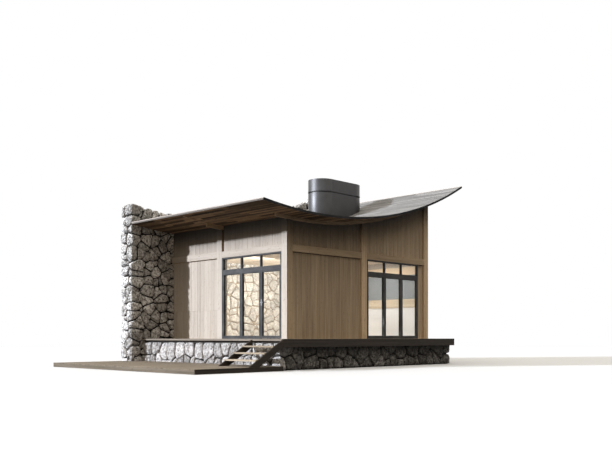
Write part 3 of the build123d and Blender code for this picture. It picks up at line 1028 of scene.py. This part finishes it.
def stone_cells(seeds, limits):
    """Closed cells round the seeds, one joint apart, each trimmed by the limits of its place."""
    for seed in seeds:
        near = sorted((other for other in seeds if other is not seed and (other - seed).length < cell_reach),
                      key=lambda other: (other - seed).length)
        mesh = bmesh.new()
        bmesh.ops.create_cube(mesh, size=2 * cell_reach)
        bmesh.ops.translate(mesh, verts=mesh.verts, vec=seed)
        for limit in limits(seed):
            for point, normal in rough_face(seed, *limit):
                slice_off(mesh, point, normal)
        for other in near[:cell_neighbours]:
            across = other - seed
            slice_off(mesh, seed + across / 2 - across.normalized() * stone_joint / 2, across)
        bmesh.ops.remove_doubles(mesh, verts=mesh.verts, dist=stone_merge)
        if len(mesh.faces) > 3:
            mesh.verts.index_update()
            faces = [[vertex.index for vertex in face.verts] for face in mesh.faces]
            yield seed, [vertex.co.copy() for vertex in mesh.verts], faces
        mesh.free()


def stone_piece(pile, name, look, replaced=(), crease_share=stone_crease, bulge=stone_bulge):
    """Rounded, uneven stones from a pile of cells."""
    obj = pile.piece(name, look, "rubble_stone", replaced, smooth=True)
    crease = obj.data.attributes.new("crease_edge", "FLOAT", "EDGE")
    crease.data.foreach_set("value", [crease_share] * len(obj.data.edges))
    set_up(obj.modifiers.new("rounded", "SUBSURF"), levels=2, render_levels=2)
    texture = set_up(bpy.data.textures.new(name + "_relief", "CLOUDS"), noise_scale=relief_scale,
                     noise_depth=4)
    set_up(obj.modifiers.new("relief", "DISPLACE"), texture=texture, texture_coords="LOCAL",
           strength=2 * bulge, mid_level=0.5)


def rubble_wall():
    """The wall at the back, round a dark core: three pieces, and the stones that face the room."""
    low = Vector((roof_left, side_length, ground))
    high = Vector((roof_right, wall_high.y, wall_high.z))
    layer = (high.y - low.y) / 2
    seeds = [seed for seed in stone_seeds(low, high, (stone_length, layer, stone_height), stone_twins)
             if seed.z < roof_height(seed.x, stone_wall_rise) - wall_top_margin]

    def limits(seed):
        top, after, before = [roof_height(seed.x + step, stone_wall_rise)
                              for step in (0, slope_step, -slope_step)]
        slope = (after - before) / (2 * slope_step)
        sides = ((low, (0, -1, 0)), (high, (0, 1, 0)), (low, (-1, 0, 0)), (high, (1, 0, 0)))
        planes = [(point, normal, stone_tilt, stone_recess) for point, normal in sides]
        return planes + [(low + stone_foot, (0, 0, -1), 0.0, 0.0),
                         (Vector((seed.x, seed.y, top)) + wall_top_rise, Vector((-slope, 0, 1)),
                          2 * stone_tilt, stone_recess)]

    piles = [Pile(), Pile(), Pile()]
    indoors = Pile()
    third = (high.x - low.x) / len(piles)
    for seed, points, faces in stone_cells(seeds, limits):
        part = min(len(piles) - 1, int((seed.x - low.x) / third))
        in_room = seed.y < low.y + layer and room_margin < seed.x < front_length and 0 < seed.z < rail_top
        (indoors if in_room else piles[part]).add(points, faces, rng.random())
    stone_piece(indoors, "room_stones", "room_stone", (), room_crease, room_stone_bulge)
    for pile, side in zip(piles, ("left", "middle", "right")):
        stone_piece(pile, "wall_stones_" + side, "rubble_stone", ("stone_wall",) if side == "middle" else ())

    x_start, x_end = low.x + core_depth, high.x - core_depth
    top_line = [x_end + (x_start - x_end) * step / core_steps for step in range(core_steps + 1)]
    section = [(x_start, ground), (x_end, ground)]
    section += [(x, roof_height(x, stone_wall_rise) - core_top) for x in top_line]
    core = Pile().prism(section, lambda u, v, end: (u, (low.y + core_depth, high.y - core_depth)[end], v))
    core.piece("wall_core", "mortar", "rubble_stone")
    pointing = Pile().box((wall_depth, low.y + pointing_depth, 0),
                          (front_length - wall_depth, low.y + core_depth, rail_top))
    pointing.piece("room_pointing", "pale_mortar", "rubble_stone")


def plinth():
    """Large pale stones under the floor, round dark cores: a low row of small ones below. Along the front
    the stones are much darker: painted shade.
    """
    names = ("front_plinth", "left_plinth", "right_plinth")
    extents = [corners(name) for name in names]
    seeds = []
    owner = {}
    for extent in extents:
        low, high = extent
        row_top = low.z + plinth_low_row * (high.z - low.z)
        for length, bottom, top in ((plinth_low_length, low.z, row_top),
                                    (plinth_stone_length, row_top, high.z)):
            size = [whole_depth, length, whole_depth]
            if extent is extents[0]:
                size = [length, whole_depth, whole_depth]
            ends = Vector((low.x, low.y, bottom)), Vector((high.x, high.y, top))
            row = stone_seeds(*ends, size, 0.0)
            seeds += row
            owner.update((tuple(seed), extent) for seed in row)
    corner = extents[0][0]

    def limits(seed):
        low, high = owner[tuple(seed)]
        front = (0, min(low.y, corner.y), 0)
        sides = ((low, (-1, 0, 0)), (high, (1, 0, 0)), (front, (0, -1, 0)), (high, (0, 1, 0)))
        planes = [(point, normal, plinth_evenness * stone_tilt, plinth_evenness * stone_recess)
                  for point, normal in sides]
        return planes + [(low + stone_foot, (0, 0, -1), 0.0, 0.0), (high, (0, 0, 1), 0.0, 0.0)]

    shaded, pale, core = Pile(), Pile(), Pile()
    for seed, points, faces in stone_cells(seeds, limits):
        # Front stones take the darker material: painted shade.
        in_front = owner[tuple(seed)] is extents[0] and seed.x > corner.x + plinth_corner
        (shaded if in_front else pale).add(points, faces, rng.random())
    stone_piece(shaded, "front_plinth_stones", "plinth_stone_painted_shade", names[:1], plinth_crease)
    stone_piece(pale, "side_plinth_stones", "plinth_stone", names[1:], plinth_crease)
    inset = Vector((core_depth, core_depth, 0))
    for low, high in extents:
        core.box(low + inset, high - inset - core_drop)
    core.piece("plinth_core", "mortar", "rubble_stone")


# Studio floor, light and camera


def studio_floor():
    """Large pale floor that fades into the white background."""
    mesh = bpy.data.meshes.new("studio_floor")
    turns = [k * math.tau / floor_sides for k in range(floor_sides)]
    mesh.from_pydata([(floor_reach * math.cos(turn), floor_reach * math.sin(turn), 0) for turn in turns],
                     [], [list(range(floor_sides))])
    look = Shader("studio_floor", roughness=0.9)
    distance = look.node("VectorMath", "Value", {"operation": "LENGTH"},
                         _0=look.node("NewGeometry", "Position"))
    fade = look.node("MapRange", 0, {"interpolation_type": "SMOOTHSTEP"}, Value=distance,
                     From_Min=floor_fade[0], From_Max=floor_fade[1])
    faded = look.math("MULTIPLY", fade, look.node("LightPath", "Is Camera Ray"))
    look.show(faded, look.surface.outputs[0], look.node("Emission", Strength=1.0))
    look.finish(look.mix(look.seen(), floor_bounce, floor_pale))
    mesh.materials.append(look.material)
    placed("studio_floor", mesh)


def sky():
    """Pale light from all round, and plain white wherever the background itself shows."""
    world = bpy.data.worlds.new("studio")
    scene.world = world
    world.use_nodes = True
    air = Nodes(world.node_tree)
    light = air.tree.nodes["Background"]
    height = air.axis(air.node("TexCoord", "Generated"), "Z")
    curved = air.math("POWER", air.node("Clamp", _0=height), sky_curve)
    air.set(light.inputs["Color"], sky_colour)
    air.set(light.inputs["Strength"], air.node("MapRange", Value=curved, To_Min=sky_low, To_Max=sky_high))
    white = air.node("Background", Color=(1.0, 1.0, 1.0))
    air.show(air.seen(), light.outputs[0], white, "World Output")


def lamp(name, kind, energy, colour, place, direction, **shape):
    """A lamp at a place, turned to a direction."""
    data = set_up(bpy.data.lights.new(name, kind), energy=energy, color=colour, **shape)
    turn = Vector(direction).to_track_quat("-Z", "Y").to_euler()
    return set_up(placed(name, data), location=house + Vector(place), rotation_euler=turn)


def lights():
    """The sky, the sun, a soft fill from the left, and lamps under the room's ceiling."""
    sky()
    lamp("sun", "SUN", sun_strength, sun_colour, sun_place, sun_direction, angle=sun_softness)
    for name, place, direction, power, size, colour in area_lamps:
        area = lamp(name, "AREA", power, colour, place, direction, size=size)
        area.visible_camera = area.visible_glossy = area.visible_transmission = False


def camera():
    """The photograph's camera: level, with its horizon moved by a lens shift."""
    data = set_up(bpy.data.cameras.new("camera"), lens=camera_lens, sensor_width=36.0,
                  shift_y=camera_rise, clip_end=camera_reach)
    scene.camera = set_up(placed("camera", data), location=house + camera_place,
                          rotation_euler=(math.radians(90), 0, camera_turn))


def build():
    for look, ease, names in dressing:
        for name in names.split():
            dress(name, look, ease)
    boarded_walls()
    room_trim()
    roof_surfaces()
    roof_edges()
    room_floor()
    terrace()
    deck()
    window_trim()
    rubble_wall()
    plinth()
    studio_floor()
    lights()
    camera()
    scene.view_settings.view_transform = "Standard"


build()
